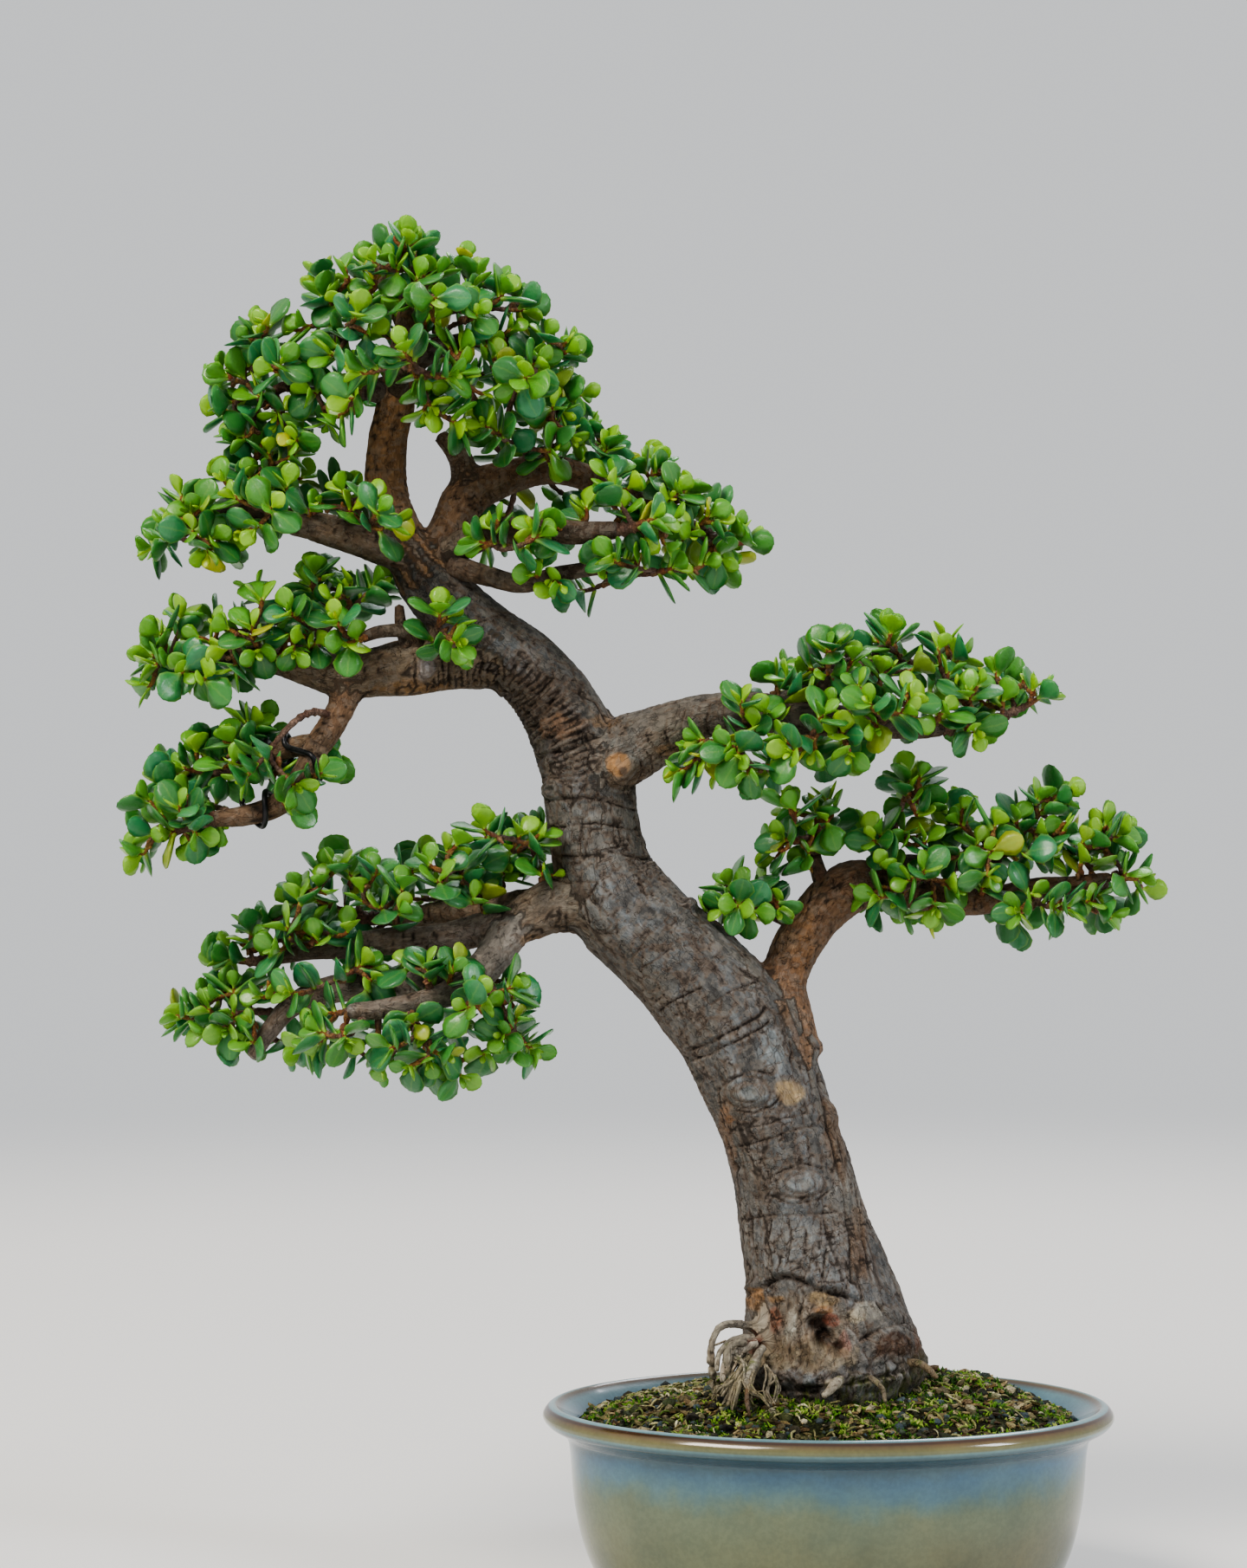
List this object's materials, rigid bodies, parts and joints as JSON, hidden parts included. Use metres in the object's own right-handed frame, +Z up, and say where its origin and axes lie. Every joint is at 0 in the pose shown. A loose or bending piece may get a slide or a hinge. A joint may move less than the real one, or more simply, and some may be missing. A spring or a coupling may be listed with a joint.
{
  "type": "dwarf jade bonsai",
  "caption": "Dwarf jade bonsai: a leaning, curved trunk with tiered pads of small thick leaves, in an oval lipped glazed pot of gritty soil.",
  "frame": {"origin": "middle of the underside of the pot, where it rests", "axes": "+Z up, +X along the length of the oval pot to the right as seen from the front, +Y to the back; the crown leans to -X"},
  "size_m": [0.3956, 0.17, 0.5318],
  "materials": {
    "glaze": "gloss",
    "screen": "matte",
    "soil": "matte",
    "bark": "matte",
    "wire": "satin",
    "leaf": "satin"
  },
  "bodies": {
    "root": {"pot": "glaze", "drainage_screen_left": "screen", "drainage_screen_right": "screen", "soil": "soil", "trunk": "bark", "training_wire": "wire", "crown_top": "leaf", "crown_high_right": "leaf", "crown_high_left": "leaf", "crown_left": "leaf", "crown_front": "leaf", "crown_right": "leaf", "crown_back": "leaf", "shoulder_top": "leaf", "shoulder_slope": "leaf", "shoulder_front": "leaf", "shoulder_near": "leaf", "shoulder_low": "leaf", "shoulder_back": "leaf", "left_upper_tip": "leaf", "left_upper_front": "leaf", "left_upper_high": "leaf", "left_upper_near": "leaf", "left_upper_back": "leaf", "left_middle_tip": "leaf", "left_middle_front": "leaf", "left_middle_top": "leaf", "left_middle_twig": "leaf", "left_middle_near": "leaf", "left_middle_back": "leaf", "left_low_tip": "leaf", "left_low_top": "leaf", "left_low_near": "leaf", "left_low_back": "leaf", "right_high_low": "leaf", "right_high_front": "leaf", "right_high_top": "leaf", "right_high_mid": "leaf", "right_high_end": "leaf", "right_high_back": "leaf", "right_low_spur": "leaf", "right_low_twig": "leaf", "right_low_tuft": "leaf", "right_low_mid": "leaf", "right_low_centre": "leaf", "right_low_far": "leaf", "right_low_hang": "leaf", "right_low_back": "leaf", "bottom_inner": "leaf", "bottom_back": "leaf", "bottom_rear": "leaf", "bottom_left_top": "leaf", "bottom_left_low": "leaf", "bottom_left_mid": "leaf", "bottom_centre": "leaf", "bottom_front": "leaf", "bottom_front_right": "leaf", "bottom_front_low": "leaf", "bottom_front_left": "leaf"}
  },
  "joints": []
}
